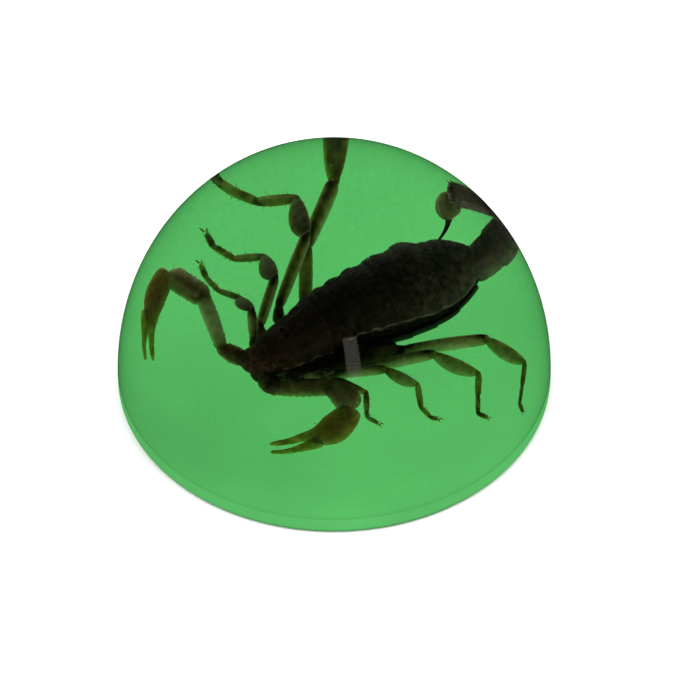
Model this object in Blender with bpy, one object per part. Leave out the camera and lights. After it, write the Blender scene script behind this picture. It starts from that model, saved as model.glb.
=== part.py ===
"""Scorpion paperweight: a clear cast-resin dome standing on a thin green glow-powder layer.

Metres, +Z up. The origin is the centre of the flat underside, on the dome's axis of symmetry.
The outer surface is one smooth outline that both pieces share: a small rounded edge at the foot,
then a quarter ellipse up to the top. The clear dome is solid resin all through, because the
scorpion sealed in it leaves no cavity.
"""

import math

import bmesh
import bpy

BASE_RADIUS = 0.033      # largest radius, just above the table
TOTAL_HEIGHT = 0.038     # from the underside to the top of the dome
FOOT_EDGE = 0.001        # radius of the rounded edge round the underside
GLOW_THICKNESS = 0.003   # the pigmented layer that was poured last
LAYER_GAP = 0.0003       # the clear resin starts this far above the glow layer
TURN_STEPS = 72          # facets round the axis; a multiple of 4, so the width is exact both ways
DOME_LEVELS = 18         # rings of facets on the clear dome
FOOT_LEVELS = 4          # rings of facets on the rounded foot edge
GLOW_LEVELS = 2          # rings of facets on the glow layer above the foot edge
WELD_DISTANCE = 0.000001
SHARP_ANGLE = math.radians(35)

RESIN_COLOUR = (0.93, 0.97, 0.93, 1.0)
RESIN_ALPHA = 0.35
RESIN_ROUGHNESS = 0.03
GLOW_COLOUR = (0.10, 0.50, 0.13, 1.0)
GLOW_ROUGHNESS = 0.45


def remove_all_objects():
    for old in list(bpy.data.objects):
        bpy.data.objects.remove(old, do_unlink=True)


def plain_material(name, colour, roughness, alpha=1.0):
    """A non-metallic material of one colour."""
    material = bpy.data.materials.new(name)
    material.use_nodes = True
    shader = material.node_tree.nodes["Principled BSDF"]
    shader.inputs["Base Color"].default_value = colour
    shader.inputs["Roughness"].default_value = roughness
    shader.inputs["Metallic"].default_value = 0.0
    shader.inputs["Alpha"].default_value = alpha
    return material


def ellipse_point(angle):
    """(radius, height) on the dome's outline: angle 0 at its widest ring, a quarter turn at the top."""
    rise = TOTAL_HEIGHT - FOOT_EDGE
    return BASE_RADIUS * math.cos(angle), FOOT_EDGE + rise * math.sin(angle)


def ellipse_angle(height):
    """The angle at which the dome's outline passes this height."""
    return math.asin((height - FOOT_EDGE) / (TOTAL_HEIGHT - FOOT_EDGE))


def ellipse_run(high_angle, low_angle, levels):
    """Outline points from the higher angle down to the lower one."""
    step = (low_angle - high_angle) / levels
    return [ellipse_point(high_angle + step * i) for i in range(levels + 1)]


def foot_run():
    """Outline points down the rounded foot edge, below its widest ring, to the underside."""
    points = []
    for i in range(1, FOOT_LEVELS + 1):
        angle = math.pi / 2 * i / FOOT_LEVELS
        inset = FOOT_EDGE * (1 - math.cos(angle))
        points.append((BASE_RADIUS - inset, FOOT_EDGE * (1 - math.sin(angle))))
    return points


def clear_dome_outline():
    """From the top down the outer side, then in to the axis over the flat bottom."""
    bottom = GLOW_THICKNESS + LAYER_GAP
    side = ellipse_run(math.pi / 2, ellipse_angle(bottom), DOME_LEVELS)
    return [(0.0, TOTAL_HEIGHT)] + side[1:] + [(0.0, bottom)]


def glow_layer_outline():
    """From the middle of the layer's flat top, out, down the side and the foot edge, and back in."""
    side = ellipse_run(ellipse_angle(GLOW_THICKNESS), 0.0, GLOW_LEVELS)
    return [(0.0, GLOW_THICKNESS)] + side + foot_run() + [(0.0, 0.0)]


def turned_solid(name, outline, material):
    """Spins an outline of (radius, height) points once round the Z axis into a closed solid."""
    shape = bmesh.new()
    corners = [shape.verts.new((radius, 0.0, height)) for radius, height in outline]
    edges = [shape.edges.new(pair) for pair in zip(corners, corners[1:])]
    bmesh.ops.spin(
        shape,
        geom=corners + edges,
        cent=(0.0, 0.0, 0.0),
        axis=(0.0, 0.0, 1.0),
        angle=2 * math.pi,
        steps=TURN_STEPS,
        use_merge=True,
    )
    bmesh.ops.remove_doubles(shape, verts=shape.verts, dist=WELD_DISTANCE)
    bmesh.ops.recalc_face_normals(shape, faces=shape.faces)
    mesh = bpy.data.meshes.new(name)
    shape.to_mesh(mesh)
    shape.free()
    mesh.shade_smooth()
    mesh.set_sharp_from_angle(angle=SHARP_ANGLE)
    mesh.materials.append(material)
    solid = bpy.data.objects.new(name, mesh)
    bpy.context.scene.collection.objects.link(solid)
    return solid


def main():
    remove_all_objects()
    resin = plain_material("clear_resin", RESIN_COLOUR, RESIN_ROUGHNESS, RESIN_ALPHA)
    glow = plain_material("glow_resin", GLOW_COLOUR, GLOW_ROUGHNESS)
    turned_solid("clear_dome", clear_dome_outline(), resin)
    turned_solid("glow_layer", glow_layer_outline(), glow)


main()
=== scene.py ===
"""A scorpion sealed in a clear resin dome on a glowing green base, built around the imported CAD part.

Sizes and places are in millimetres, in the part's own frame: the dome stands on z = 0 and the camera looks
from the -Y side. The scorpion's head points to -X and towards the camera, so its left side is the near one.
"""
from math import asin, cos, pi, radians, sin

import bpy
import numpy as np
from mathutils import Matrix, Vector, noise


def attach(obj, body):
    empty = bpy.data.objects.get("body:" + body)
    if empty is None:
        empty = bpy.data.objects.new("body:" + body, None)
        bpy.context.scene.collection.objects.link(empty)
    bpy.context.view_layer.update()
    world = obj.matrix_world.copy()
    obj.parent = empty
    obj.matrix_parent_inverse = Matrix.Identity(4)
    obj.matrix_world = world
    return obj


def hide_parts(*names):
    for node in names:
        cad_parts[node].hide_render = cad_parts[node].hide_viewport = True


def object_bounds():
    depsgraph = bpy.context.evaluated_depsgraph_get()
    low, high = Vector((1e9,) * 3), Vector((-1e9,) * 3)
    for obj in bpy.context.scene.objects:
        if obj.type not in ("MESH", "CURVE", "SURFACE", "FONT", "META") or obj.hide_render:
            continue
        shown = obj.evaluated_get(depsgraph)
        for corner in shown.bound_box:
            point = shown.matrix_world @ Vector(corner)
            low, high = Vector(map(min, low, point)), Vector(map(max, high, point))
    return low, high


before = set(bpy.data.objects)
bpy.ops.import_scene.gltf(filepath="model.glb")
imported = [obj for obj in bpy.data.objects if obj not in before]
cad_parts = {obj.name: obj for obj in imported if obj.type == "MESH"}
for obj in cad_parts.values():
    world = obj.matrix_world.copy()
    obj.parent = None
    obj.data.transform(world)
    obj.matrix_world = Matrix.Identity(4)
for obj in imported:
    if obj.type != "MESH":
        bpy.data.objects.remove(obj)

MM = 0.001
cad_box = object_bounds()

# ----- the dome, from the CAD box
DOME_RADIUS = (cad_box[1].x - cad_box[0].x) / 2 / MM
DOME_HEIGHT = (cad_box[1].z - cad_box[0].z) / MM
FOOT_EDGE = 1.0  # radius of the rounded lower edge
GLOW_THICKNESS = 3.0  # the green layer
RESIN_SEAT = 0.05  # how far the resin reaches into the green layer, so that no air lies between
RESIN_INSET = 0.02  # how far its edge there lies inside the wall
AROUND_DOME = 216  # points around a ring
GLOW_COLOUR = (0.09, 0.478, 0.118)
SHADOW_SPOT = (-17.0, -18.0, 3.0)  # painted shadow: the middle of a soft spot on the green layer where the glow is made a little weaker

# ----- where the scorpion lies
BODY_FRONT = np.array([-8.3, -3.2, 8.5])  # middle of the head's front edge
BODY_HEADING = radians(28.5)  # the way from head to tail, in plan
TAILWARD = np.array([cos(BODY_HEADING), sin(BODY_HEADING), 0.0])
RIGHTWARD = np.array([-sin(BODY_HEADING), cos(BODY_HEADING), 0.0])
UPWARD = np.array([0.0, 0.0, 1.0])
SIDES = {"left": -1, "right": 1}
HEAD_SWAY = -1.3  # how far the head bends to the left
HEAD_REDNESS = (1.45, 0.85, 0.85)  # what the skin's colour is multiplied by at the head

# the body's half width and half height at stations from head to tail
STATIONS = np.array([-0.5, 0.5, 3.5, 7.0, 10.5, 14.0, 18.0, 21.0, 23.5, 25.2])
HALF_WIDTHS = np.array([1.5, 2.1, 2.8, 3.4, 4.05, 4.7, 4.85, 4.35, 2.9, 1.5])
HALF_HEIGHTS = np.array([1.4, 1.75, 2.2, 2.65, 3.0, 3.3, 3.3, 2.9, 2.3, 1.8])
BELLY_DEPTH = 1.04  # how deep the belly is, against the height of the back
PLATE_THICKNESS = 0.22
CARAPACE_SPREAD = 100  # how many degrees the head's plate reaches to each side
TERGITE_EDGES = (7.0, 8.4, 10.1, 12.0, 14.2, 17.2, 20.3, 25.1)
TERGITE_SPREADS = (84, 77, 71, 70, 71, 75, 80)
TERGITE_BULGES = (0.25, 0.28, 0.3, 0.3, 0.3, 0.56, 0.38)  # how far each back plate's middle stands out
STERNITE_EDGES = (10.6, 13.2, 16.0, 18.8, 21.6, 24.3)

# the two fangs of each mouthpart: root, bend and tip on the body (tailward, sideways, height), and radius
FANGS = (
    (((-0.6, 0.5, -1.9), (-0.8, 0.45, -2.6), (-0.5, 0.42, -3.2)), 0.5),
    (((-0.4, 1.2, -2.0), (-0.6, 1.25, -2.7), (-0.4, 0.7, -3.2)), 0.45),
)

# soft folds beside the coxae: start and end on the body, width, height, shape, tones, rows
FLANK_FOLDS = (
    ((3.4, 1.1, -1.6), (0.0, 1.9, -1.3), 2.4, 2.2, (0.8, 1.15, 0.7), (0.6, 0.4), 26),
    ((9.0, 3.6, -1.9), (14.1, 4.75, -1.6), 2.0, 1.9, (1.2, 1.0, 0.35), (0.55, 0.3), 30),
    ((4.5, 2.5, -0.9), (10.5, 3.55, -1.4), 1.7, 2.2, (0.9, 1.1, 0.8), (0.12, 0.08), 30),
)

# each leg's coxa on the body (tailward, sideways); on the right, the front three are drawn forwards
LEG_ROOTS = ((1.6, 2.65), (4.0, 3.7), (6.3, 4.3), (8.7, 4.5))
ROOT_HEIGHT = -2.0
RIGHT_ROOTS_FORWARD = (0.5, 1.4, 1.2, 0.0)
LEG_NUMBERS = (1, 2, 3, 4)
# pale joint skin that bulges out between the near coxae: its middle and half length
JOINT_PADS = (((-5.8, -6.3, 7.85), 0.85), ((-1.3, -6.4, 8.0), 0.5), ((-0.35, -6.2, 8.0), 0.4),
              ((-4.0, -7.45, 8.0), 0.45))
HIP_WIDTHS = {"left": (1.29, 1.38, 1.5, 1.75), "right": (1.2, 1.05, 1.1, 1.25)}
LEG_STOUTNESS = (0.86, 0.92, 1.0, 1.08)
PINCH_REACH = 0.35  # how far from a joint a limb is drawn in
HAIR_RADIUS = 0.032
# the joints of legs 1 to 4 on each side, outwards: hip, knee, patella end, tibia end, ankle, tip
LEG_JOINTS = {
    "left": (
        ((-3.9, -6.8, 7.4), (-1.2, -7.5, 8.6), (3.6, -10.0, 8.3), (3.6, -10.5, 5.6),
         (3.7, -10.0, 4.3), (5.0, -10.6, 3.8)),
        ((0.3, -5.9, 7.4), (5.5, -6.5, 8.7), (8.9, -5.4, 5.3), (9.6, -8.6, 4.5),
         (10.8, -10.0, 4.1), (11.9, -10.6, 4.1)),
        ((3.0, -4.9, 7.2), (10.7, -3.95, 8.5), (16.0, -4.7, 5.8), (16.4, -7.7, 4.9),
         (16.9, -10.2, 4.3), (18.6, -11.2, 4.1)),
        ((7.4, -2.6, 7.8), (16.8, -1.8, 8.5), (22.4, -3.0, 5.5), (23.0, -6.6, 4.9),
         (23.5, -9.6, 4.4), (24.9, -11.1, 4.1)),
    ),
    "right": (
        ((-8.3, 0.1, 7.4), (-8.6, 1.2, 10.4), (-9.0, 5.5, 7.4), (-10.6, 8.2, 5.4),
         (-11.2, 10.5, 4.4), (-11.3, 12.4, 4.0)),
        ((-7.4, 2.0, 7.1), (-5.8, 5.6, 10.5), (-6.4, 10.1, 8.2), (-8.6, 11.9, 5.5),
         (-9.9, 13.9, 4.4), (-10.1, 15.5, 3.9)),
        ((-5.3, 4.75, 7.2), (-2.5, 10.9, 10.4), (-3.1, 16.2, 8.1), (-5.8, 17.3, 5.6),
         (-7.9, 18.7, 4.3), (-9.6, 20.0, 3.9)),
        ((-2.4, 11.8, 7.7), (0.0, 17.9, 7.3), (1.2, 24.2, 8.1), (-3.2, 25.6, 5.6),
         (-6.6, 26.6, 4.5), (-8.8, 27.3, 4.0)),
    ),
}

# pedipalps: trochanter start, femur start, elbow, wrist
ARM_JOINTS = {
    "right": ((-9.6, -3.1, 7.0), (-11.9, -2.0, 7.5), (-13.25, 4.3, 9.0), (-16.9, 8.1, 8.5)),
    "left": ((-7.7, -5.4, 6.8), (-6.6, -8.1, 7.2), (0.3, -8.6, 8.0), (2.25, -12.8, 8.0)),
}
FAR_ARM_SIZE = 0.84  # the far arm's thickness, against the near one's
# each hand: marks along the palm and the fixed finger, from the wrist to the tip
PALM_MARKS = {
    "right": ((-16.9, 8.0, 8.5), (-17.9, 6.7, 8.2), (-19.0, 5.2, 7.8), (-19.5, 3.9, 7.4),
              (-19.7, 2.8, 7.0), (-19.9, 1.9, 6.6), (-20.2, 0.2, 6.1), (-20.5, -2.3, 5.5)),
    "left": ((2.05, -12.8, 8.0), (0.95, -14.55, 7.6), (-0.4, -15.85, 7.1), (-1.6, -16.25, 6.8),
             (-2.6, -16.2, 6.5), (-3.5, -16.15, 6.3), (-5.4, -16.45, 5.8), (-7.9, -16.6, 5.3)),
}
# marks along the movable finger, from its root in the palm to its tip
FINGER_MARKS = {
    "right": ((-20.3, 3.9, 7.3), (-20.7, 3.0, 6.95), (-21.1, 1.4, 6.4), (-21.6, -0.4, 5.9),
              (-21.8, -2.2, 5.5)),
    "left": ((-1.55, -17.1, 6.5), (-2.5, -17.4, 6.2), (-4.2, -17.9, 5.8), (-6.0, -18.3, 5.5),
             (-7.9, -18.3, 5.3)),
}
HAND_ROLL = {"right": 60, "left": 5}  # degrees from lying flat
# half width and half height at parts of the way along the palm and the fixed finger
HAND_STATIONS = np.array([0.0, 0.06, 0.19, 0.345, 0.45, 0.54, 0.62, 0.78, 0.95, 1.0])
HAND_HALF_WIDTHS = np.array([1.25, 1.5, 1.85, 1.95, 1.5, 0.92, 0.62, 0.41, 0.27, 0.17])
HAND_HALF_HEIGHTS = np.array([0.85, 1.1, 1.35, 1.35, 1.15, 0.85, 0.62, 0.42, 0.28, 0.18])

# the tail: where each of its five segments begins, and the end of the fifth
TAIL_JOINTS = ((13.3, 8.3, 8.4), (15.4, 10.6, 8.6), (17.5, 12.5, 9.2), (21.8, 14.2, 12.6),
               (18.7, 13.6, 16.2), (11.8, 13.55, 14.5))
TAIL_WIDTHS = (3.8, 4.3, 4.5, 3.8, 3.9)
TAIL_HEIGHTS = (3.6, 4.0, 4.1, 3.6, 3.2)
TAIL_SHAPES = ((0.8, 1.02, 0.97), (0.95, 1.02, 0.97), (0.95, 1.02, 0.97), (0.95, 1.02, 0.97),
               (1.05, 1.08, 0.62))
TAIL_RUGGEDNESS = (0.09, 0.09, 0.1, 0.15, 0.2)
TAIL_KEELS = (60, 120, 18, 162, -38, -142, -74, -106)  # their angles around a segment, 90 being its top
# the telson: what its bulb leans to, the bulb's end, and the sting beyond it
TELSON_BEND = (10.8, 12.4, 12.9)
VESICLE_END = (11.15, 11.6, 12.0)
STING_BEND = (10.8, 11.0, 11.0)
STING_TIP = (9.7, 10.4, 10.0)


# ----- small helpers
def unit(v):
    v = np.asarray(v, float)
    return v / np.linalg.norm(v, axis=-1, keepdims=True)


def body_point(tailward, sideways, height):
    """A place in the body's own directions, measured from the middle of the head's front edge."""
    s, t, z = (np.asarray(value, float)[..., None] for value in (tailward, sideways, height))
    t = t + HEAD_SWAY * (0.5 - 0.5 * np.cos(pi * np.clip(1 - s / 10, 0, 1)))
    return BODY_FRONT + s * TAILWARD + t * RIGHTWARD + z * UPWARD


def level_side(start, end):
    """The level direction to the right of a limb that runs from start to end."""
    d = end - start
    return unit((d[1], -d[0], 0.0))


def smooth_through(x, stations, values):
    """Values at x of a smooth curve that passes through the stations."""
    slopes = np.gradient(values, stations)
    i = np.clip(np.searchsorted(stations, x) - 1, 0, len(stations) - 2)
    step = stations[i + 1] - stations[i]
    u = np.clip((x - stations[i]) / step, 0, 1)
    ends = (1 + 2 * u) * (1 - u) ** 2 * values[i] + u * u * (3 - 2 * u) * values[i + 1]
    return ends + step * (u * (1 - u) ** 2 * slopes[i] - u * u * (1 - u) * slopes[i + 1])


def hump(x, width):
    """1 where x is 0, falling smoothly towards 0 on both sides; at one width it is 0.37."""
    return np.exp(-(x / width) ** 2)


def eased(count):
    """Numbers from 0 to 1 that lie closer together near both ends."""
    return 0.5 - 0.5 * np.cos(pi * np.linspace(0, 1, count))


def end_fade(u):
    """0 at both ends of a limb and 1 between them, to keep relief off its ends."""
    return np.clip(np.minimum(u, 1 - u) / 0.08, 0, 1)


def leg_root(turn, number):
    """Where a leg's coxa sits under the body; turn is 1 on the right and -1 on the left."""
    s, t = LEG_ROOTS[number - 1]
    forward = RIGHT_ROOTS_FORWARD[number - 1] if turn > 0 else 0.0
    return body_point(s - forward, turn * t, ROOT_HEIGHT)


def half_width(s):
    return smooth_through(s, STATIONS, HALF_WIDTHS)


def half_height(s):
    return smooth_through(s, STATIONS, HALF_HEIGHTS)


def bulge(u, start, belly, end):
    """Numbers or places from start to end as u goes from 0 to 1, leaning to belly between them."""
    start, belly, end = np.array(start), np.array(belly), np.array(end)
    return (1 - u) ** 2 * start + 2 * u * (1 - u) * belly + u * u * end


def rounded(u, roundness):
    """Falls to nearly nothing at both ends, as on a capsule. A high roundness number gives blunt ends."""
    return np.maximum(1 - np.abs(2 * u - 1) ** roundness, 1e-4) ** (1 / roundness)


def curve_through(start, bend, end, count):
    """Points along an arc from start to end that leans to bend."""
    u = np.linspace(0, 1, count)[:, None]
    return bulge(u, start, bend, end)


def grains(points, spacing):
    """0 to 1 for each point: small rounded grains, spacing apart, scattered through space."""
    flat = points.reshape(-1, 3) / spacing
    tops = [1 - (noise.voronoi(Vector(p))[0][0] / 0.62) ** 2 for p in flat]
    return np.maximum(np.array(tops), 0).reshape(points.shape[:-1])


def waves(points, spacing):
    """-1 to 1 for each point: soft uneven swells."""
    flat = points.reshape(-1, 3) / spacing
    return np.array([noise.noise(Vector(p)) for p in flat]).reshape(points.shape[:-1])


def keels(angles, height, teeth=0, breadth=0.2):
    """Ridges along a limb at these angles, 90 being its top, beaded if teeth is given."""
    def relief(u, angle):
        gaps = [(angle - radians(keel) + pi) % (2 * pi) - pi for keel in angles]
        beads = 0.6 + 0.4 * np.cos(2 * pi * teeth * u) if teeth else 1.0
        return sum(height * hump(gap, breadth) for gap in gaps) * beads
    return relief


# ----- meshes
class Mould:
    """Gathers closed skins for one mesh piece. Each point has a tone: 0 for dark cuticle, 1 for pale."""

    def __init__(self):
        self.points = []
        self.faces = []
        self.tones = []
        self.count = 0

    def add(self, points, faces, tones):
        self.points.append(points)
        self.tones.append(tones)
        self.faces += [[corner + self.count for corner in face] for face in faces]
        self.count += len(points)


def grid_faces(rows, columns):
    """Faces between closed rings of points."""
    i = np.arange(rows - 1)[:, None]
    j = np.arange(columns)[None, :]
    k = (j + 1) % columns
    corners = [i * columns + j, i * columns + k, (i + 1) * columns + k, (i + 1) * columns + j]
    return np.stack(np.broadcast_arrays(*corners), -1).reshape(-1, 4).tolist()


def tube(mould, rings, tones):
    """Skins closed rings and closes both ends."""
    rows, columns = rings.shape[:2]
    middles = np.array([rings[0].mean(0), rings[-1].mean(0)])
    faces = grid_faces(rows, columns)
    first, last = rows * columns, rows * columns + 1
    start = (rows - 1) * columns
    for j in range(columns):
        k = (j + 1) % columns
        faces.append([first, k, j])
        faces.append([last, start + j, start + k])
    ends = np.array([tones[0].mean(), tones[-1].mean()])
    mould.add(np.concatenate([rings.reshape(-1, 3), middles]), faces, np.concatenate([tones.ravel(), ends]))


def shell(mould, top, under, tones):
    """A thin closed plate between two grids of points."""
    rows, columns = top.shape[:2]
    rings = np.concatenate([top, under[:, ::-1]], 1)
    both = np.concatenate([tones, tones[:, ::-1]], 1)
    faces = grid_faces(rows, 2 * columns)
    start = (rows - 1) * 2 * columns
    for j in range(columns - 1):
        a, b, c, d = j, j + 1, 2 * columns - 2 - j, 2 * columns - 1 - j
        faces.append([d, c, b, a])
        faces.append([start + a, start + b, start + c, start + d])
    mould.add(rings.reshape(-1, 3), faces, both.ravel())


def loft(mould, spine, side, half_wide, half_high, relief=None, tone=0.5, around=24, squareness=2.0,
         grain=None):
    """A closed limb around a spine. Angle 0 is its side direction and 90 degrees its top.

    The tone is a number, or a function of the part of the way along the limb and the angle; grain is the
    height and the spacing of its grains."""
    steps = np.linalg.norm(np.diff(spine, axis=0), axis=1)
    u = (np.concatenate([[0], np.cumsum(steps)]) / steps.sum())[:, None]
    ahead = unit(np.gradient(spine, axis=0))
    side = np.broadcast_to(side, ahead.shape)
    side = unit(side - (side * ahead).sum(1, keepdims=True) * ahead)
    sideways, upwards = side[:, None], np.cross(side, ahead)[:, None]
    angle = np.linspace(0, 2 * pi, around, endpoint=False)[None, :]
    wide = np.broadcast_to(half_wide, len(spine))[:, None]
    high = np.broadcast_to(half_high, len(spine))[:, None]
    across = np.sign(np.cos(angle)) * np.abs(np.cos(angle)) ** (2 / squareness)
    upright = np.sign(np.sin(angle)) * np.abs(np.sin(angle)) ** (2 / squareness)
    out = unit((np.cos(angle) * high)[..., None] * sideways + (np.sin(angle) * wide)[..., None] * upwards)
    rings = spine[:, None] + (across * wide)[..., None] * sideways + (upright * high)[..., None] * upwards
    if relief:
        rings = rings + (relief(u, angle) * end_fade(u))[..., None] * out
    if grain:
        rings = rings + (grain[0] * grains(rings, grain[1]) * end_fade(u))[..., None] * out
    tube(mould, rings, np.broadcast_to(tone(u, angle) if callable(tone) else tone, rings.shape[:2]))


def limb_tone(middle, ends, underside=0.0, ridge=0.0):
    """Paler in the middle of a limb than at its joints, paler below, and dark along its top and bottom."""
    def tone(u, angle):
        span = np.sin(pi * np.clip(u, 0, 1)) ** 0.6
        shade = ends + (middle - ends) * span
        shade = shade + underside * span * (0.5 - 0.5 * np.sin(angle))
        return np.clip(shade - ridge * np.abs(np.sin(angle)) ** 3, 0, 1)
    return tone


def segment(mould, start, end, width, height, shape, side=None, rows=26, roundness=3.5, overlap=0.05,
            squareness=2.2, **skin):
    """One limb segment between two joints, which it passes by overlap. The rest is handed to loft."""
    side = level_side(start, end) if side is None else side
    ahead = unit(end - start)
    start, end = start - overlap * ahead, end + overlap * ahead
    u = eased(rows)
    size = bulge(u, *shape) * rounded(u, roundness)
    loft(mould, start + (end - start) * u[:, None], side, width / 2 * size, height / 2 * size,
         squareness=squareness, **skin)


class Link:
    """One segment of a jointed limb: where it runs, its full width and height, and its thickness along it.

    Its tone is a function, or the numbers that limb_tone takes."""

    def __init__(self, start, end, width, height, shape, side=None, *, tone, bow=0.0,
                 relief=None, rows=34):
        self.start, self.end, self.width, self.height, self.shape = start, end, width, height, shape
        self.side = level_side(start, end) if side is None else side
        self.bow, self.relief, self.rows = bow, relief, rows
        self.tone = tone if callable(tone) else limb_tone(*tone)


def jointed(mould, links, around, squareness=2.2, grain=None, pinch=0.16):
    """One closed skin over a chain of segments. It is drawn in at each joint and rounded off at both ends."""
    angle = np.linspace(0, 2 * pi, around, endpoint=False)[None, :]
    stack = []
    for number, part in enumerate(links):
        length = np.linalg.norm(part.end - part.start)
        ahead = (part.end - part.start) / length
        u = eased(part.rows)[:, None]
        setback = 0.14 * part.height
        reach = setback + (length - 2 * setback) * u
        spine = part.start + ahead * reach + np.cross(part.side, ahead) * (part.bow * 4 * u * (1 - u))
        size = bulge(u, *part.shape)
        size = size * (1 - pinch * hump(reach, PINCH_REACH) - pinch * hump(length - reach, PINCH_REACH))
        if number == 0:
            size = size * np.clip((reach - setback) / (0.5 * part.height), 0.02, 1) ** 0.5
        if number == len(links) - 1:
            size = size * np.clip((length - setback - reach) / (0.5 * part.height), 0.02, 1) ** 0.5
        relief = np.zeros((part.rows, around)) if part.relief is None else part.relief(u, angle) * end_fade(u)
        rows = [spine, np.broadcast_to(part.side, spine.shape), part.width / 2 * size, part.height / 2 * size,
                relief, part.tone(u, angle) + 0 * angle]
        if stack:
            mix = np.array([0.25, 0.5, 0.75])[:, None]
            corner = [curve_through(stack[0][-1], part.start, spine[0], 5)[1:-1]]
            corner += [before[-1] * (1 - mix) + after[0] * mix for before, after in zip(stack[1:], rows[1:])]
            stack = [np.concatenate(pieces) for pieces in zip(stack, corner, rows)]
        else:
            stack = rows
    spine, side, wide, high, relief, tone = stack
    loft(mould, spine, unit(side), wide[:, 0], high[:, 0], lambda u, angle: relief, lambda u, angle: tone,
         around, squareness, grain)


def ball(mould, centre, radii, tone, rows=14, around=18):
    """A rounded lump with these half sizes tailward, across and upwards."""
    turn = np.linspace(0, pi, rows)
    size = np.maximum(np.sin(turn), 0.02)
    spine = centre - np.cos(turn)[:, None] * TAILWARD * radii[0]
    across = np.cross(TAILWARD, UPWARD)
    loft(mould, spine, across, radii[1] * size, radii[2] * size, tone=tone, around=around)


def spike(mould, root, bend, tip, radius, tone=0.1, rows=7, around=6):
    """A tapering curved spike, for claws, teeth and bristles."""
    spine = curve_through(root, bend, tip, rows)
    size = radius * np.linspace(1, 0.08, rows) ** 0.8
    slanting = (0.31, 0.22, 0.92)
    side = unit(np.cross(unit(tip - root), slanting))
    loft(mould, spine, side, size, size, tone=tone, around=around)


def in_scene(name, data):
    """A new object in the scene."""
    new = bpy.data.objects.new(name, data)
    bpy.context.scene.collection.objects.link(new)
    return new


def cast(name, mould, material):
    """Makes the piece and ties it to the frame."""
    mesh = bpy.data.meshes.new(name)
    mesh.from_pydata((np.concatenate(mould.points) * MM).tolist(), [], mould.faces)
    mesh.attributes.new("tone", "FLOAT", "POINT").data.foreach_set("value", np.concatenate(mould.tones))
    mesh.shade_smooth()
    mesh.materials.append(material)
    piece = in_scene(name, mesh)
    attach(piece, "root")
    return piece


# ----- materials
class Paint:
    """A material in the making, with short ways to add and link its shader nodes."""

    def __init__(self, name):
        self.made = bpy.data.materials.new(name)
        self.made.use_nodes = True
        self.nodes, self.links = self.made.node_tree.nodes, self.made.node_tree.links

    def fill(self, node, inputs):
        """Gives each named input of a node its value, or links it to the output that is given for it."""
        for name, value in inputs.items():
            if isinstance(value, bpy.types.NodeSocket):
                self.links.new(value, node.inputs[name])
            else:
                node.inputs[name].default_value = value

    def shade(self, inputs):
        self.fill(self.nodes["Principled BSDF"], inputs)

    def add(self, kind, inputs, **settings):
        node = self.nodes.new("ShaderNode" + kind)
        for name, value in settings.items():
            setattr(node, name, value)
        self.fill(node, inputs)
        return node

    def place(self):
        """The place on the piece in the part's own space, in metres."""
        return self.add("TexCoord", {}).outputs["Object"]

    def speckle(self, scale, detail=3.0, roughness=0.55):
        """Noise with this many repeats a metre."""
        inputs = {"Vector": self.place(), "Scale": scale, "Detail": detail, "Roughness": roughness}
        return self.add("TexNoise", inputs).outputs["Fac"]

    def remap(self, value, low, high, to_low, to_high):
        inputs = {"Value": value, "From Min": low, "From Max": high, "To Min": to_low, "To Max": to_high}
        return self.add("MapRange", inputs).outputs["Result"]

    def from_place(self, operation, vector):
        """The place's distance from a vector, or its length along one, by the name of the operation."""
        return self.add("VectorMath", {0: self.place(), 1: vector}, operation=operation).outputs["Value"]


def redder_at_head(paint, colour):
    """The same colour towards the tail, and a redder one at the head."""
    head = BODY_FRONT @ TAILWARD
    along = paint.from_place("DOT_PRODUCT", TAILWARD)
    share = paint.remap(along, (head + 3) * MM, (head + 13) * MM, 1.0, 0.0)
    inputs = {0: share, 6: colour, 7: (*HEAD_REDNESS, 1)}
    return paint.add("Mix", inputs, data_type="RGBA", blend_type="MULTIPLY").outputs[2]


def cuticle(name, dark, middle, pale, glow_through=0.0, roughness=0.42, glow_tint=(1.0, 0.75, 0.65),
            head=False):
    """Hard scorpion skin: its colour runs from dark to pale with the tone of the mesh and a fine mottle.

    glow_through is how many millimetres of its pale parts red light passes; green and blue pass less, and the
    dark parts pass less of every colour."""
    paint = Paint(name)
    tone = paint.add("Attribute", {}, attribute_name="tone").outputs["Fac"]
    mottle = paint.remap(paint.speckle(1400, 4.0, 0.6), 0.25, 0.75, -0.16, 0.16)
    total = paint.add("Math", {0: tone, 1: mottle}, operation="ADD", use_clamp=True).outputs[0]
    ramp = paint.add("ValToRGB", {"Fac": total})
    ramp.color_ramp.elements[0].color = (*dark, 1)
    ramp.color_ramp.elements[1].color = (*pale, 1)
    ramp.color_ramp.elements.new(0.5).color = (*middle, 1)
    colour = ramp.outputs["Color"]
    grain = {"Strength": 0.35, "Distance": 0.05 * MM, "Height": paint.speckle(7000, 2.0)}
    paint.shade({
        "Base Color": redder_at_head(paint, colour) if head else colour,
        "Roughness": paint.remap(paint.speckle(3000), 0.3, 0.7, roughness - 0.1, roughness + 0.12),
        "Normal": paint.add("Bump", grain).outputs["Normal"],
        "Specular IOR Level": 0.035,
    })
    if glow_through > 0:
        depth = paint.remap(total, 0.0, 0.5, 0.25 * glow_through * MM, glow_through * MM)
        paint.shade({"Subsurface Weight": 1.0, "Subsurface Radius": glow_tint, "Subsurface Scale": depth})
    return paint.made


def clear_resin():
    paint = Paint("clear_resin")
    paint.shade({"Base Color": (1, 1, 1, 1), "Roughness": 0.0, "IOR": 1.5, "Transmission Weight": 1.0})
    haze = paint.add("VolumeAbsorption", {"Color": (0.92, 1.0, 0.94, 1), "Density": 5.0})
    paint.fill(paint.nodes["Material Output"], {"Volume": haze.outputs["Volume"]})
    return paint.made


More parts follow.
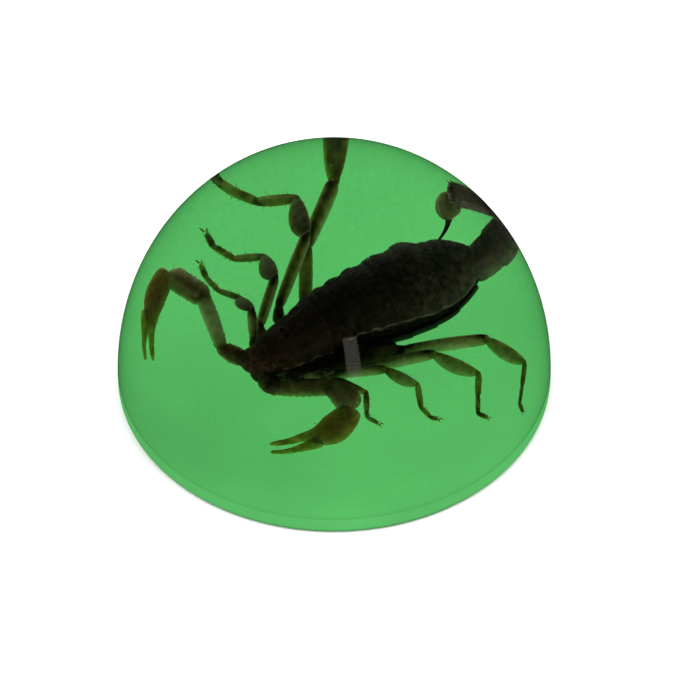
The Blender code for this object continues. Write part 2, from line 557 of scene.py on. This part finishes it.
def glow_resin():
    """The green layer glows by itself. Its powder is fine-grained and uneven. Painted light makes the glow
    brighter towards the back and the front, a painted shadow dims it in one patch at the front left, and
    painted shade darkens it along the lower edge."""
    paint = Paint("glow_resin")
    axes = paint.add("SeparateXYZ", {0: paint.place()}).outputs
    from_shadow_spot = paint.from_place("DISTANCE", [value * MM for value in SHADOW_SPOT])
    from_top = paint.from_place("DISTANCE", (0, 0, GLOW_THICKNESS * MM))
    cloud = paint.remap(paint.speckle(55, 2.0), 0.3, 0.7, 0.93, 1.07)
    powder = paint.remap(paint.speckle(2600, 2.0, 0.7), 0.3, 0.7, 0.95, 1.05)
    # painted light: the glow is made brighter towards the back and towards the front
    back = paint.remap(axes["Y"], -5 * MM, 30 * MM, 1.0, 1.1)
    front = paint.remap(axes["Y"], -32 * MM, -14 * MM, 1.09, 1.0)
    # painted shadow: a soft patch at the front left where the glow is made weaker
    painted_shadow = paint.remap(from_shadow_spot, 0.0, 13 * MM, 0.88, 1.0)
    rim = paint.remap(from_top, 31.5 * MM, 32.8 * MM, 1.0, 0.88)
    # painted shade: the glow is darkened along the lower rounded edge
    foot = paint.remap(axes["Z"], 0.2 * FOOT_EDGE * MM, 1.1 * FOOT_EDGE * MM, 0.3, 1.0)
    glow = cloud
    for part in (powder, back, front, painted_shadow, rim, foot):
        glow = paint.add("Math", {0: glow, 1: part}, operation="MULTIPLY").outputs[0]
    paint.shade({"Base Color": (0.012, 0.05, 0.016, 1), "Roughness": 0.5,
                 "Emission Color": (*GLOW_COLOUR, 1), "Emission Strength": glow})
    return paint.made


# ----- the dome and its base
def turned(name, outline, material, node):
    """A smooth solid turned around the z axis from (radius, height) points that start and end on it."""
    points, faces, rings = [], [], []
    for radius, height in outline:
        count = AROUND_DOME if radius > 0 else 1
        rings.append(range(len(points), len(points) + count))
        for i in range(count):
            turn = 2 * pi * i / AROUND_DOME
            points.append((radius * cos(turn), radius * sin(turn), height))
    for upper, lower in zip(rings, rings[1:]):
        for i in range(AROUND_DOME):
            corners = ((upper, i), (lower, i), (lower, i + 1), (upper, i + 1))
            face = [ring[k % len(ring)] for ring, k in corners]
            faces.append(list(dict.fromkeys(face)))  # at a ring of one point it is a triangle
    mould = Mould()
    mould.add(np.array(points), faces, np.full(len(points), 0.5))
    piece = cast(name, mould, material)
    piece.data.set_sharp_from_angle(angle=radians(35))
    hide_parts(node)


def dome_arc(top_angle, bottom_angle, steps):
    """Points down the outer wall, a quarter ellipse that stands on the rounded foot edge."""
    turns = [top_angle + (bottom_angle - top_angle) * i / steps for i in range(steps + 1)]
    rise = DOME_HEIGHT - FOOT_EDGE
    return [(DOME_RADIUS * cos(turn), FOOT_EDGE + rise * sin(turn)) for turn in turns]


def resin_and_base():
    seam_angle = asin((GLOW_THICKNESS - FOOT_EDGE) / (DOME_HEIGHT - FOOT_EDGE))
    wall = dome_arc(pi / 2, seam_angle, 90)
    seat = wall[-1][0] - RESIN_INSET, wall[-1][1] - RESIN_SEAT
    dome_outline = [(0.0, DOME_HEIGHT)] + wall[1:] + [seat, (0.0, seat[1])]
    turned("resin_dome", dome_outline, clear_resin(), "clear_dome")
    edge = [pi / 2 * i / 8 for i in range(1, 9)]
    foot = [(DOME_RADIUS - FOOT_EDGE * (1 - cos(a)), FOOT_EDGE * (1 - sin(a))) for a in edge]
    base_outline = [(0.0, GLOW_THICKNESS)] + dome_arc(seam_angle, 0.0, 6) + foot + [(0.0, 0.0)]
    turned("glow_base", base_outline, glow_resin(), "glow_layer")


# ----- the body
def back_surface(s, angle, outset, side_up=1.0):
    """Points on the body's skin, outset from it. The angle is from the middle of the back, or of the belly
    where side_up is -1."""
    sideways = (half_width(s) + outset) * np.sin(angle)
    rise = half_height(s) if side_up > 0 else BELLY_DEPTH * half_height(s)
    height = side_up * (rise + outset) * np.abs(np.cos(angle)) ** 0.9 * np.sign(np.cos(angle))
    return body_point(s + 0 * angle, sideways, height)


def plate(mould, front, rear, spread, outset, thickness, rows, columns, relief, tone, side_up=1.0,
          sweep=None):
    """A curved plate of the back (side_up 1) or belly (-1) that reaches spread degrees to each side."""
    u = np.linspace(0, 1, rows)[:, None]
    angle = np.linspace(-1, 1, columns)[None, :] * radians(spread)
    s = front + (rear - front) * u + 0 * angle
    if sweep:
        s = s + sweep(u, angle)
    lift = outset(u) + relief(s, u, angle)
    top = back_surface(s, angle, lift, side_up)
    edge = np.minimum(np.minimum(u, 1 - u) * (rear - front), (1 - np.abs(angle) / angle.max()) * 4.0)
    depth = thickness * np.clip(0.25 + edge / 0.25, 0.25, 1)
    under = back_surface(s, angle, lift - depth, side_up)
    shades = np.broadcast_to(tone(u, angle), s.shape)
    if side_up > 0:
        shell(mould, top, under, shades)
    else:
        shell(mould, under, top, shades)


def carapace(skin, eye_skin):
    def sweep(u, angle):
        notch = 0.42 * hump(angle, 0.3) + 1.5 * np.abs(angle / 1.75) ** 4
        return notch * (1 - u) ** 3 + 0.25 * u ** 4 * np.cos(angle)

    def relief(s, u, angle):
        t = np.sin(angle) * half_width(s)
        off_middle = np.abs(t)
        skin_points = back_surface(s, angle, 0.0)
        eye_mound = 0.42 * hump(t, 0.78) * hump(s - 2.8, 0.75)
        furrow = -0.16 * hump(t, 0.3) * (hump(s - 5.6, 1.2) + hump(s - 1.2, 0.7))
        inner = 0.15 * hump(off_middle - 1.15, 0.2) * hump(s - 5.0, 1.5)
        outer = 0.13 * hump(off_middle - 2.3, 0.24) * hump(s - 4.4, 1.8)
        rim = 0.14 * hump(1 - u, 0.03) + 0.12 * hump(u, 0.03)
        side_furrow = -0.14 * hump(s - 4.1 - 0.35 * off_middle, 0.35) * np.clip(off_middle / 1.4, 0, 1)
        rough = grains(skin_points, 0.3) * (0.07 + 0.05 * waves(skin_points, 1.4))
        return eye_mound + furrow + inner + outer + rim + side_furrow + rough

    def tone(u, angle):
        edge = np.clip((np.abs(angle) / radians(CARAPACE_SPREAD) - 0.9) / 0.02, 0, 1)
        return 0.385 + 0.08 * hump(1 - u, 0.03) + 0.6 * edge * (0.6 + 0.4 * np.sin(19 * u))

    mould = Mould()
    plate(mould, -0.25, 7.15, CARAPACE_SPREAD, lambda u: 0.1 + 0.06 * u, 0.3, 92, 128, relief, tone,
          sweep=sweep)
    cast("carapace", mould, skin)

    eyes = Mould()
    for turn in (-1, 1):
        ball(eyes, back_surface(2.75, np.array(turn * 0.17), 0.36), (0.27, 0.25, 0.25), 0.0)
        for k in range(3):
            spot = back_surface(0.75 + 0.36 * k, np.array(turn * (1.12 + 0.02 * k)), 0.1)
            ball(eyes, spot, (0.14, 0.12, 0.12), 0.0, rows=10, around=12)
    cast("eyes", eyes, eye_skin)


def tergites(skin):
    sizes = zip(TERGITE_EDGES, TERGITE_EDGES[1:], TERGITE_SPREADS, TERGITE_BULGES)
    for k, (front, rear, spread, rise) in enumerate(sizes):
        last = rear == TERGITE_EDGES[-1]
        length = rear - front

        def outset(u):
            return -0.07 + 0.1 * u + rise * np.sin(pi * u)

        def relief(s, u, angle):
            t = np.sin(angle) * half_width(s)
            off_middle = np.abs(t)
            skin_points = back_surface(s, angle, 0.0)
            rearward = np.clip((u - 0.3) / 0.3, 0, 1)
            middle_keel = 0.1 * hump(t, 0.16)
            side_keel = 0.08 * hump(off_middle - 0.36 * half_width(s), 0.16)
            outer_keel = 0.1 * hump(off_middle - 0.68 * half_width(s), 0.2) if last else 0.0
            ledge = -0.1 * hump(u - 0.26, 0.05)
            rear_beads = 0.05 * hump((1 - u) * length, 0.16) * (0.6 + 0.4 * np.cos(t * 14))
            rough = grains(skin_points, 0.34) * (0.03 + 0.08 * rearward)
            swell = 0.05 * waves(skin_points, 2.2)
            return rearward * (middle_keel + side_keel + outer_keel) + ledge + rear_beads + rough + swell

        def tone(u, angle):
            side_pale = 0.65 * np.clip((np.abs(angle) / radians(spread) - 0.955) / 0.02, 0, 1)
            side_pale = side_pale * (0.6 + 0.4 * np.sin(2.3 * k + 9 * u)) * (k > 0)
            return 0.225 + 0.065 * k + 0.08 * hump((1 - u) * length, 0.22) + side_pale

        mould = Mould()
        plate(mould, front - 0.35, rear + 0.12, spread, outset, PLATE_THICKNESS, int(30 + 14 * length), 132,
              relief, tone, sweep=lambda u, angle: -0.16 * np.sin(angle) ** 2 * u)
        cast("tergite_%d" % (k + 1), mould, skin)


def sternites(skin):
    for k, (front, rear) in enumerate(zip(STERNITE_EDGES, STERNITE_EDGES[1:])):
        length = rear - front

        def relief(s, u, angle):
            off_middle = np.abs(np.sin(angle) * half_width(s))
            slit_line = hump((u - 0.5) * length, 0.14)
            breath_slit = -0.12 * hump(off_middle - 0.5 * half_width(s), 0.42) * slit_line
            furrow = -0.06 * hump(off_middle - 0.26 * half_width(s), 0.15)
            return breath_slit * (k < 4) + furrow + 0.03 * waves(back_surface(s, angle, 0.0, -1.0), 1.8)

        mould = Mould()
        plate(mould, front - 0.3, rear + 0.1, 84, lambda u: 0.02 + 0.14 * u, PLATE_THICKNESS, 34, 96, relief,
              lambda u, angle: 0.21 + 0.1 * hump((1 - u) * length, 0.2), side_up=-1.0)
        cast("sternite_%d" % (k + 3), mould, skin)


def soft_core(skin):
    """The soft skin between the back and belly plates, folded lengthwise along the flanks."""
    s = np.concatenate([np.linspace(-0.2, 0.8, 6), np.linspace(1.2, 25.0, 110), [25.3, 25.5]])
    length = s[-1] - s[0]
    front_end = np.clip((s + 0.35) / 0.6, 0.1, 1) ** 0.5
    rear_end = np.clip((25.6 - s) / 0.9, 0.1, 1) ** 0.5
    wide = (half_width(s) - 0.28) * front_end * rear_end
    high = (half_height(s) - 0.25) * front_end * rear_end

    def relief(u, angle):
        flank = np.abs(np.cos(angle)) ** 6
        folds = 0.1 * np.sin(angle * 30) + 0.08 * np.sin(25 * u * 5.5 + 2.0 * np.sin(angle * 3))
        return flank * folds

    def tone(u, angle):
        reach = length * u
        rise = np.degrees(np.arcsin(np.clip(np.sin(angle), -1, 1)))
        plate_edge = np.where(reach < TERGITE_EDGES[0], -15, 18)
        broken = 0.5 + 0.5 * np.sin(reach * 3.1 + 1.7 * np.sin(reach * 1.3))
        return 0.14 + (0.3 + 0.5 * broken) * hump(rise - plate_edge, 5)

    mould = Mould()
    loft(mould, body_point(s, 0 * s, 0 * s), -RIGHTWARD, wide, high, relief, tone, around=96)
    cast("soft_body", mould, skin)


def mouthparts(skin):
    for name, turn in SIDES.items():
        mould = Mould()
        segment(mould, body_point(2.6, turn * 0.9, 0.0), body_point(-1.95, turn * 0.95, -1.35), 2.3, 2.7,
                (1.0, 1.15, 0.95), grain=(0.13, 0.42), tone=limb_tone(0.58, 0.42), rows=54, around=52,
                roundness=3)
        for marks, radius in FANGS:
            root, bend, tip = (body_point(s, turn * t, z) for s, t, z in marks)
            spike(mould, root, bend, tip, radius, 0.2, rows=12, around=12)
        for k in range(3):
            tooth = body_point(-0.65 - 0.02 * k, turn * 0.62, -2.35 - 0.2 * k)
            spike(mould, tooth, tooth, tooth + 0.2 * RIGHTWARD * turn - 0.05 * UPWARD, 0.09, 0.1, rows=4)
        cast("chelicera_" + name, mould, skin)


def underside(skin, pale_skin):
    """Coxae, the small breastbone, the genital plates and the two combs, under the front of the body."""
    mould = Mould()
    for turn in SIDES.values():
        for number in LEG_NUMBERS:
            inner = body_point(1.4 + 1.35 * number, turn * 0.75, -2.05 - 0.08 * number)
            segment(mould, inner, leg_root(turn, number), 2.5, 2.4, (0.7, 1.15, 0.85), grain=(0.04, 0.3),
                    tone=limb_tone(0.6, 0.4), rows=24)
        for start, end, *sizes, tones, rows in FLANK_FOLDS:
            start, end = (body_point(s, turn * t, z) for s, t, z in (start, end))
            segment(mould, start, end, *sizes, grain=(0.03, 0.3), tone=limb_tone(*tones), rows=rows)
        ball(mould, body_point(8.1, turn * 0.72, -2.72), (0.62, 0.66, 0.22), 0.3)
    ball(mould, body_point(6.9, 0, -2.55), (0.75, 0.42, 0.25), 0.3)
    cast("coxae", mould, skin)

    pads = Mould()
    for place, reach in JOINT_PADS:
        ball(pads, place, (reach, 0.2, 0.18), 0.5, rows=20)
    cast("joint_pads", pads, pale_skin)

    for name, turn in SIDES.items():
        comb = Mould()
        spine = curve_through(body_point(8.9, turn * 0.5, -2.95), body_point(9.2, turn * 2.6, -3.05),
                              body_point(10.7, turn * 4.3, -2.75), 30)
        u = np.linspace(0, 1, 30)
        size = bulge(u, 1.0, 0.9, 0.55) * rounded(u, 4)
        loft(comb, spine, UPWARD, 0.13 * size + 0.01, 0.38 * size, tone=limb_tone(0.55, 0.35), around=14)
        for k in range(18):
            root = spine[2 + int(k * 1.5)] + 0.25 * TAILWARD
            tooth_tip = root + 0.85 * unit(TAILWARD + 0.25 * turn * RIGHTWARD)
            segment(comb, root, tooth_tip, 0.16, 0.16, (0.9, 0.8, 1.1), rows=8, around=8,
                    tone=limb_tone(0.7, 0.6))
        cast("comb_" + name, comb, skin)


# ----- limbs
def bristles(mould, start, end, width, height, count, length, seed):
    """Fine hairs that lean towards the end of a limb."""
    rng = np.random.default_rng(seed)
    ahead = unit(end - start)
    side = level_side(start, end)
    up = np.cross(side, ahead)
    for _ in range(count):
        angle = rng.uniform(0, 2 * pi)
        out = cos(angle) * side + sin(angle) * up
        skin = cos(angle) * side * width * 0.42 + sin(angle) * up * height * 0.42
        root = start + (end - start) * rng.uniform(0.08, 0.95) + skin
        reach = length * rng.uniform(0.6, 1.2)
        bend = root + out * reach * 0.55 + ahead * reach * 0.1
        tip = root + out * reach * 0.8 + ahead * reach * 0.55
        spike(mould, root, bend, tip, HAIR_RADIUS, 0.35, rows=4, around=4)


def hinge(ahead, after):
    """The hinge direction between two segments, so that a limb's top is the outer side of its bend."""
    return unit(np.cross(unit(after), unit(ahead)))


def leg(side_name, number, skin, hairs):
    turn = SIDES[side_name]
    f = LEG_STOUTNESS[number - 1]
    hip, knee, shin, heel, ankle, tip = (np.array(p) for p in LEG_JOINTS[side_name][number - 1])
    lower = hinge(shin - knee, heel - shin)
    ridge = keels((88, -88), 0.07 * f, 18, 0.25)
    hip_width = HIP_WIDTHS[side_name][number - 1]
    coxa_pale = 0.08 if turn > 0 and number < 4 else 0.32
    femur_pale = 0.62 if turn > 0 else 0.84 if number == 1 else 0.76
    patella_pale = 0.06 if turn > 0 else 0.5 if number == 1 else 0.3
    mould = Mould()
    jointed(mould, [
        Link(leg_root(turn, number), hip, hip_width, 1.12 * hip_width, (0.9, 1.2, 0.8),
             tone=(coxa_pale, 0.08)),
        Link(hip, knee, 1.15 * f, 1.5 * f, (0.85, 1.12, 0.88), bow=0.12 * f, relief=ridge,
             tone=(femur_pale, 0.24, 0.1, 0.35), rows=54),
        Link(knee, shin, 1.05 * f, 1.95 * f, (0.5, 1.5, 0.44), lower, bow=-0.28 * f, relief=ridge,
             tone=(0.18, 0.12, patella_pale), rows=48),
        Link(shin, heel, 0.78 * f, 0.92 * f, (0.8, 1.0, 0.75), lower, relief=keels((90,), 0.04, 12),
             tone=(0.15, 0.11, 0.12, 0.1)),
        Link(heel, ankle, 0.6 * f, 0.68 * f, (0.95, 0.95, 0.9), lower, tone=(0.11, 0.07, 0.06), rows=22),
        Link(ankle, tip, 0.54 * f, 0.66 * f, (0.95, 1.1, 0.75), lower, tone=(0.07, 0.03, 0.03), rows=22),
    ], around=30, grain=(0.025, 0.22))
    toe_ahead = unit(tip - ankle)
    toe_side = level_side(ankle, tip)
    for spread in (-1, 1):
        outwards = spread * toe_side
        root = tip + 0.1 * outwards
        bend = root + 0.34 * toe_ahead + 0.2 * outwards + 0.16 * UPWARD
        spike(mould, root, bend, root + 0.5 * toe_ahead + 0.2 * outwards - 0.14 * UPWARD, 0.11, 0.05)
        spur = ankle + 0.12 * outwards
        spur_tip = spur + 0.3 * toe_ahead + 0.16 * outwards - 0.14 * UPWARD
        spike(mould, spur, spur, spur_tip, 0.06, 0.1, rows=5)
    if number > 2:
        spike(mould, heel, heel, heel + 0.55 * unit(ankle - heel) - 0.3 * UPWARD, 0.08, 0.1, rows=5)
    cast("leg_%s_%d" % (side_name, number), mould, skin)
    seed = 10 * number + (turn > 0)
    for start, end, width, height, count, length in (
            (shin, heel, 0.8, 1.0, 14, 0.4), (heel, ankle, 0.6, 0.7, 34, 0.34),
            (ankle, tip, 0.5, 0.6, 40, 0.3), (hip, knee, 1.1, 1.4, 6, 0.4), (knee, shin, 1.0, 1.8, 6, 0.4)):
        bristles(hairs, start, end, width * f, height * f, count, length, seed)
        seed += 100


def curve_by(marks, count):
    """Points of a smooth curve through marks, closer together at its ends, and how far along each one is."""
    marks = np.asarray(marks, float)
    far_along = np.concatenate([[0], np.cumsum(np.linalg.norm(np.diff(marks, axis=0), axis=1))])
    u = eased(count)
    spine = np.stack([smooth_through(u * far_along[-1], far_along, marks[:, k]) for k in range(3)], -1)
    return spine, u


def finger(mould, marks, inward):
    """The slender movable finger of a claw, with a row of blunt teeth on its inner edge."""
    spine, u = curve_by(marks, 64)
    thick = (0.26 + 0.7 * (1 - u) ** 1.8) * np.clip((1.003 - u) / 0.05, 0.05, 1) ** 0.5
    thick = thick * np.clip((u + 0.01) / 0.06, 0.2, 1) ** 0.5

    def relief(along, angle):
        inner_edge = hump((angle + pi) % (2 * pi) - pi, 0.4)
        return 0.06 * inner_edge * (0.5 + 0.5 * np.cos(2 * pi * 16 * along)) * (along > 0.3)

    def tone(along, angle):
        return 0.32 + 0.28 * hump(along, 0.16) - 0.22 * along

    loft(mould, spine, inward, thick, thick * 0.95, relief, tone, around=24, grain=(0.02, 0.25))


def pedipalp(side_name, arm_skin, hand_skin, hairs):
    start, hip, elbow, wrist = (np.array(p) for p in ARM_JOINTS[side_name])
    near = side_name == "left"
    turn = SIDES[side_name]
    f = 1.0 if near else FAR_ARM_SIZE
    rugged = keels((40, 140, -40, -140), 0.13 if near else 0.1, 9, 0.17)
    arm = Mould()
    jointed(arm, [
        Link(body_point(3.0, turn * 1.6, -1.5), start, 2.4 * f, 2.3 * f, (0.9, 1.15, 0.9), tone=(0.15, 0.1)),
        Link(start, hip, 2.1 * f, 2.1 * f, (0.9, 1.15, 0.85), relief=rugged, tone=(0.2, 0.1)),
        Link(hip, elbow, 1.85 * f, 1.8 * f, (0.8, 1.12, 0.95), relief=rugged,
             tone=(0.34 if near else 0.66, 0.25), rows=60),
        Link(elbow, wrist, 3.0 if near else 2.3, 2.1, (1.0, 1.05, 1.0), relief=rugged,
             tone=lambda u, angle: 0.4 + 0.12 * u + 0.07 * np.cos(5 * angle), rows=54),
    ], around=44, squareness=2.6, grain=(0.09, 0.36), pinch=0.06)
    cast("pedipalp_" + side_name, arm, arm_skin)

    hand = Mould()
    spine, u = curve_by(PALM_MARKS[side_name], 96)
    blunt = np.clip((1.002 - u) / 0.03, 0.02, 1) ** 0.5 * np.clip((u + 0.002) / 0.03, 0.05, 1) ** 0.5
    roll = radians(HAND_ROLL[side_name])
    flat = level_side(spine[0], spine[40]) * cos(roll) + UPWARD * sin(roll)

    def hand_relief(along, angle):
        palm = np.clip((0.5 - along) / 0.15, 0, 1)
        return palm * keels((15, 65, 115, 165, -60, -120), 0.09, 16, 0.13)(along, angle)

    def hand_tone(along, angle):
        palm = 0.33 + 0.12 * np.sin(pi * np.clip(along / 0.5, 0, 1)) * (0.6 - 0.4 * np.sin(angle))
        return palm - 0.6 * np.clip(along - 0.5, 0, 0.35)

    loft(hand, spine, flat, f ** 0.6 * smooth_through(u, HAND_STATIONS, HAND_HALF_WIDTHS) * blunt,
         smooth_through(u, HAND_STATIONS, HAND_HALF_HEIGHTS) * blunt, hand_relief, hand_tone, around=56,
         squareness=2.2, grain=(0.04, 0.3))
    fixed_tip, moving_tip = spine[-1], np.array(FINGER_MARKS[side_name][-1])
    cast("hand_" + side_name, hand, hand_skin)
    moving = Mould()
    finger(moving, FINGER_MARKS[side_name], unit(fixed_tip - moving_tip))
    cast("finger_" + side_name, moving, hand_skin)
    seed = 50 + (turn > 0)
    palm_end = spine[50]
    bristles(hairs, hip, elbow, 1.8, 1.8, 16, 0.5, seed)
    bristles(hairs, elbow, wrist, 2.2, 2.2, 16, 0.5, seed + 10)
    bristles(hairs, wrist, palm_end, 2.6, 2.4, 26, 0.5, seed + 20)
    for tip in (fixed_tip, moving_tip):
        bristles(hairs, palm_end, tip, 0.6, 0.6, 8, 0.4, seed + 30)


# ----- tail and sting
def crown(mould, end, ahead, side, half_wide, half_high):
    """The short teeth around the hind end of the last tail segment."""
    up = np.cross(side, ahead)
    for k in range(12):
        turn = 2 * pi * k / 12
        out = cos(turn) * side + sin(turn) * up
        root = end - 0.75 * ahead + cos(turn) * side * half_wide + sin(turn) * up * half_high
        tip = root + (0.65 + 0.15 * (k % 3)) * out + 0.3 * ahead
        spike(mould, root, root + 0.4 * out, tip, 0.3, 0.2, rows=8, around=10)


def tail(skin, telson_skin, sting_skin, hairs):
    joints = [np.array(p) for p in TAIL_JOINTS]
    side = level_side(joints[0], joints[1])
    sizes = zip(joints, joints[1:], TAIL_WIDTHS, TAIL_HEIGHTS, TAIL_SHAPES, TAIL_RUGGEDNESS)
    for k, (start, end, width, height, shape, ruggedness) in enumerate(sizes):
        ahead = unit(end - start)
        side = unit(side - (side @ ahead) * ahead)
        teeth = round(np.linalg.norm(end - start) * 2.6)
        beads = keels(TAIL_KEELS, ruggedness, teeth, 0.13)

        def relief(u, angle):
            spine_tooth = keels((60, 120), 1.4, 0, 0.2)(u, angle) * hump(u - 0.88, 0.06)
            return beads(u, angle) * (0.6 + 0.5 * u) + ruggedness * spine_tooth

        mould = Mould()
        segment(mould, start, end, width, height, shape, side, rows=84, roundness=9 if k < 4 else 5,
                overlap=0.25, squareness=2.6, relief=relief, around=96, grain=(0.04 + 0.3 * ruggedness, 0.34),
                tone=limb_tone(0.54, 0.26) if k > 2 else limb_tone(0.42, 0.22, 0.3))
        if k == 4:
            crown(mould, end, ahead, side, width * 0.31, height * 0.31)
        cast("tail_%d" % (k + 1), mould, skin)
        bristles(hairs, start, end, width, height, 14, 0.6, 70 + k)

    base, vesicle_end = joints[5], np.array(VESICLE_END)
    spine = curve_through(base - 0.2 * UPWARD, TELSON_BEND, vesicle_end, 60)
    u = np.linspace(0, 1, 60)
    size = bulge(u, 0.75, 1.5, 0.6) * rounded(u, 2.6)
    telson = Mould()
    loft(telson, spine, side, 1.28 * size, 1.26 * size, None, limb_tone(0.42, 0.22), around=56,
         grain=(0.06, 0.34))
    cast("telson", telson, telson_skin)

    sting = Mould()
    spine = curve_through(vesicle_end + 0.4 * UPWARD, STING_BEND, STING_TIP, 48)
    u = np.linspace(0, 1, 48)
    thick = 0.09 * hump(u, 0.25) + 0.22 * (1 - u) ** 0.7 + 0.06
    loft(sting, spine, side, thick, thick, tone=lambda along, angle: 0.7 * (1 - along) ** 2, around=20)
    cast("sting", sting, sting_skin)
    bristles(hairs, base, vesicle_end, 1.6, 1.6, 18, 0.75, 90)


def scorpion():
    back_skin = cuticle("back_cuticle", (0.007, 0.006, 0.0035), (0.046, 0.038, 0.018), (0.22, 0.2, 0.11),
                        roughness=0.5, head=True)
    belly_skin = cuticle("belly_cuticle", (0.009, 0.008, 0.005), (0.05, 0.042, 0.022), (0.2, 0.17, 0.1),
                         roughness=0.5, head=True)
    soft_skin = cuticle("soft_skin", (0.007, 0.008, 0.004), (0.05, 0.047, 0.025), (0.3, 0.27, 0.18),
                        roughness=0.6, head=True)
    pale_skin = cuticle("joint_skin", (0.13, 0.115, 0.075), (0.27, 0.24, 0.15), (0.36, 0.32, 0.21),
                        roughness=0.6)
    leg_skin = cuticle("leg_cuticle", (0.024, 0.017, 0.006), (0.11, 0.085, 0.034), (0.32, 0.26, 0.11), 10.5,
                       glow_tint=(1.0, 0.82, 0.66))
    arm_skin = cuticle("arm_cuticle", (0.03, 0.016, 0.006), (0.12, 0.08, 0.036), (0.32, 0.24, 0.12), 13.0,
                       glow_tint=(1.0, 0.73, 0.7))
    hand_skin = cuticle("hand_cuticle", (0.034, 0.018, 0.006), (0.14, 0.088, 0.028), (0.34, 0.24, 0.09), 16.0,
                        glow_tint=(1.0, 0.8, 0.5))
    tail_skin = cuticle("tail_cuticle", (0.045, 0.036, 0.024), (0.155, 0.122, 0.085), (0.34, 0.29, 0.19), 3.0)
    telson_skin = cuticle("telson_cuticle", (0.03, 0.024, 0.008), (0.09, 0.078, 0.036), (0.24, 0.21, 0.11),
                          12.0, glow_tint=(1.0, 0.95, 0.8))
    sting_skin = cuticle("sting_cuticle", (0.01, 0.006, 0.003), (0.05, 0.025, 0.01), (0.1, 0.06, 0.02),
                         1.0, 0.3)
    eye_skin = cuticle("eye_lens", (0.004, 0.004, 0.004), (0.01, 0.008, 0.006), (0.02, 0.016, 0.01),
                       roughness=0.15)
    hairs = Mould()
    soft_core(soft_skin)
    carapace(back_skin, eye_skin)
    tergites(back_skin)
    sternites(belly_skin)
    mouthparts(back_skin)
    underside(belly_skin, pale_skin)
    for side_name in SIDES:
        for number in LEG_NUMBERS:
            leg(side_name, number, leg_skin, hairs)
        pedipalp(side_name, arm_skin, hand_skin, hairs)
    tail(tail_skin, telson_skin, sting_skin, hairs)
    cast("bristles", hairs, leg_skin)


# ----- floor, light and camera
def floor():
    mesh = bpy.data.meshes.new("floor")
    half = 1500 * MM
    corners = [(-half, -half, 0), (half, -half, 0), (half, half, 0), (-half, half, 0)]
    mesh.from_pydata(corners, [], [(0, 1, 2, 3)])
    paint = Paint("floor_paper")
    paint.shade({"Base Color": (0.9, 0.9, 0.9, 1), "Roughness": 0.9, "Specular IOR Level": 0.05})
    mesh.materials.append(paint.made)
    sheet = in_scene("floor", mesh)
    sheet.visible_glossy = False


def facing(name, data, place, aim):
    """A new object at a place that looks at another, both in millimetres."""
    new = in_scene(name, data)
    new.location = place * MM
    new.rotation_mode = "QUATERNION"
    new.rotation_quaternion = (aim - place).to_track_quat("-Z", "Y")
    return new


def soft_box(name, place, power, aim=(0, 0, 0), size=(1000, 1000), seen=False, colour=(1.0, 1.0, 1.0)):
    lamp = bpy.data.lights.new(name, "AREA")
    lamp.shape = "RECTANGLE"
    lamp.size, lamp.size_y = size[0] * MM, size[1] * MM
    lamp.energy = power
    lamp.color = colour
    new = facing(name, lamp, Vector(place), Vector(aim))
    new.visible_glossy = seen
    new.visible_transmission = False


def lights():
    world = bpy.data.worlds.new("studio")
    bpy.context.scene.world = world
    world.use_nodes = True
    sky = world.node_tree.nodes["Background"]
    sky.inputs["Color"].default_value = (1, 1, 1, 1)
    sky.inputs["Strength"].default_value = 0.008
    soft_box("key_light", (-550, -450, 950), 16)
    soft_box("fill_light", (650, -350, 950), 14)
    soft_box("back_light", (100, 800, 900), 11)
    soft_box("window_strip", (87, -415, 325), 0.033, (3, -23, 27), (71, 184), True, (1.0, 1.0, 0.84))


CAMERA_RISE = radians(44.42)
CAMERA_DISTANCE = 495.0
LENS_MM = 168.8
AIM_HEIGHT = 9.9
AIM_RIGHT = 2.38
AIM_DOWN = 3.45


def camera():
    """Stands at the photo's viewing angle; the aim sets the dome where the photo has it."""
    up = Vector((0, sin(CAMERA_RISE), cos(CAMERA_RISE)))
    back = Vector((0, -cos(CAMERA_RISE), sin(CAMERA_RISE)))
    middle = Vector((0, 0, AIM_HEIGHT))
    aim = middle + AIM_RIGHT * Vector((1, 0, 0)) - AIM_DOWN * up
    lens = bpy.data.cameras.new("camera")
    lens.sensor_width = 36
    lens.lens = LENS_MM
    bpy.context.scene.camera = facing("camera", lens, middle + CAMERA_DISTANCE * back, aim)
    bpy.context.scene.view_settings.view_transform = "Standard"


resin_and_base()
scorpion()
floor()
lights()
camera()
